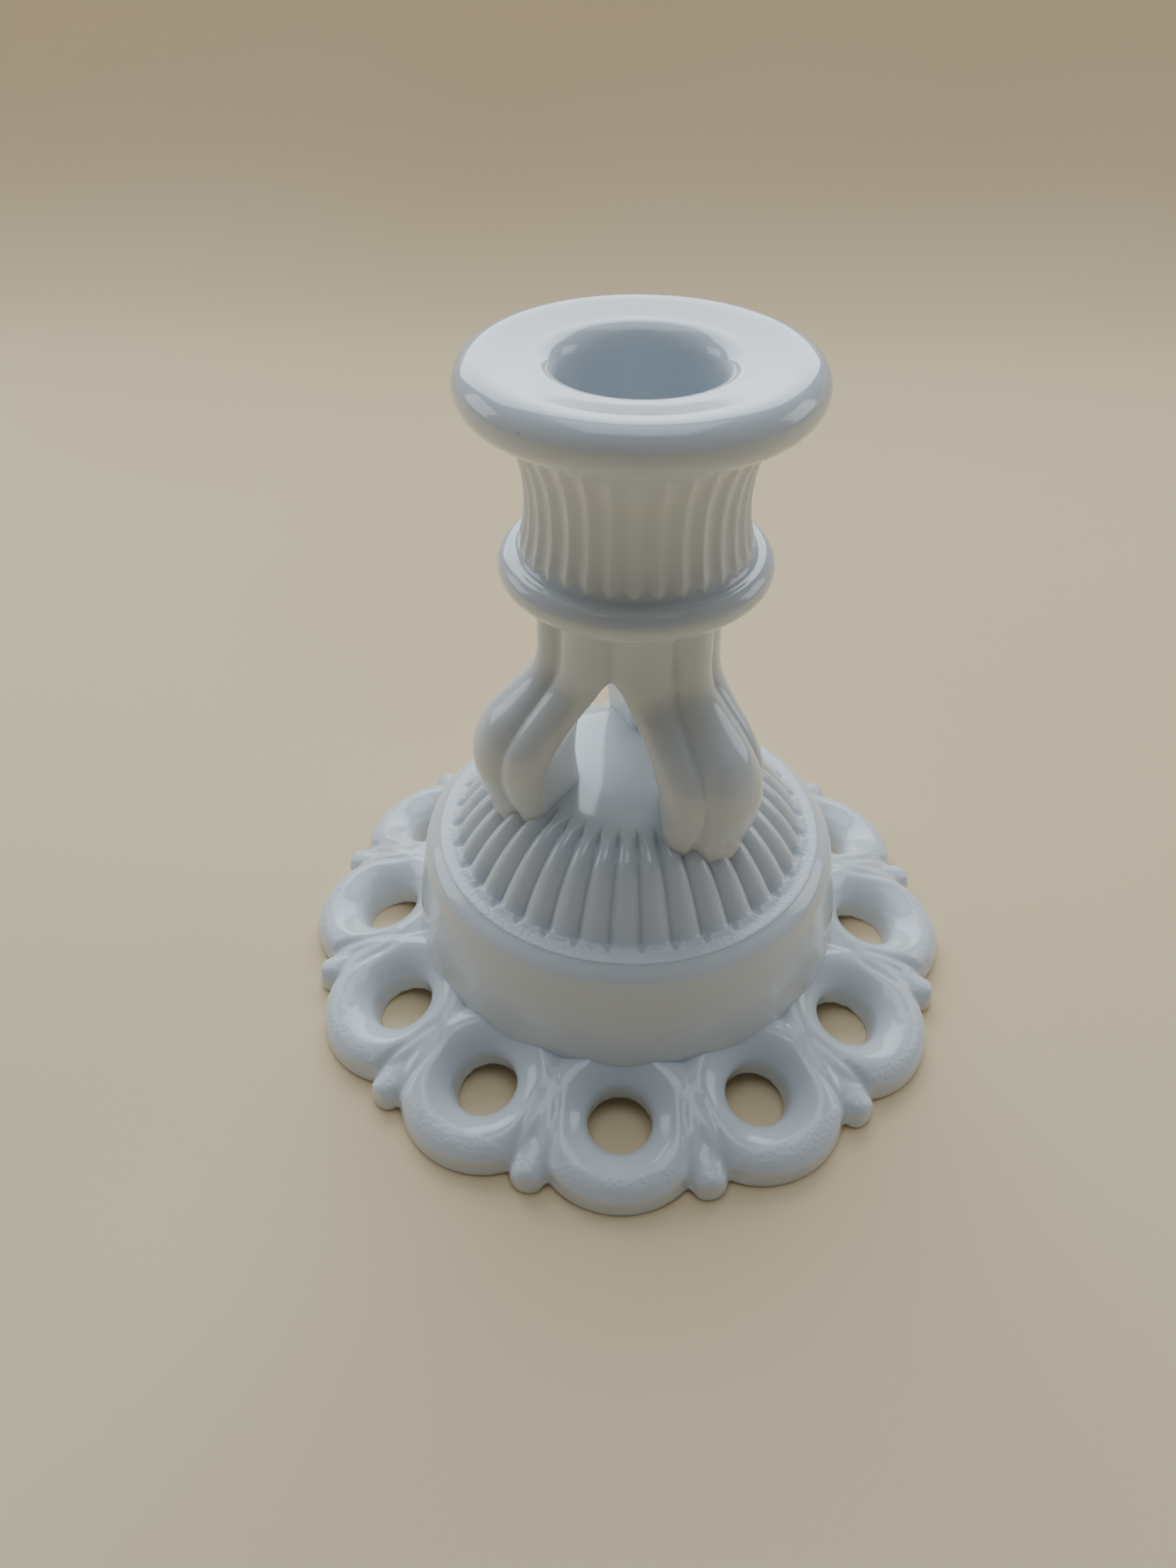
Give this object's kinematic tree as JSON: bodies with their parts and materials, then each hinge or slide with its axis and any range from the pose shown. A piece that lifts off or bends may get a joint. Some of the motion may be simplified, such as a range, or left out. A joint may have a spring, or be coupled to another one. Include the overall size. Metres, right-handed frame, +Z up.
{
  "type": "candlestick",
  "caption": "Low milk-glass candlestick with a fluted candle cup, an open three-legged stem, a ribbed dome and a foot edged with pierced lace loops.",
  "frame": {"origin": "centre of the foot, in the plane it stands on", "axes": "+Z up along the axis of the candlestick, -Y towards the front"},
  "size_m": [0.1206, 0.1206, 0.114],
  "materials": {
    "milk_glass": "gloss",
    "milk_glass_satin": "satin"
  },
  "bodies": {
    "root": {"socket_rim": "milk_glass", "candle_cup": "milk_glass", "collar_ring": "milk_glass", "stem_crown": "milk_glass", "leg_left": "milk_glass", "leg_right": "milk_glass", "leg_back": "milk_glass", "plateau_disc": "milk_glass", "ribbed_dome": "milk_glass", "ledge_ring": "milk_glass_satin", "skirt_band": "milk_glass", "lace_loop_01": "milk_glass", "lace_loop_02": "milk_glass", "lace_loop_03": "milk_glass", "lace_loop_04": "milk_glass", "lace_loop_05": "milk_glass", "lace_loop_06": "milk_glass", "lace_loop_07": "milk_glass", "lace_loop_08": "milk_glass", "lace_loop_09": "milk_glass", "lace_loop_10": "milk_glass", "lace_loop_11": "milk_glass", "lace_loop_12": "milk_glass", "lace_finger_01": "milk_glass", "lace_finger_02": "milk_glass", "lace_finger_03": "milk_glass", "lace_finger_04": "milk_glass", "lace_finger_05": "milk_glass", "lace_finger_06": "milk_glass", "lace_finger_07": "milk_glass", "lace_finger_08": "milk_glass", "lace_finger_09": "milk_glass", "lace_finger_10": "milk_glass", "lace_finger_11": "milk_glass", "lace_finger_12": "milk_glass"}
  },
  "joints": []
}
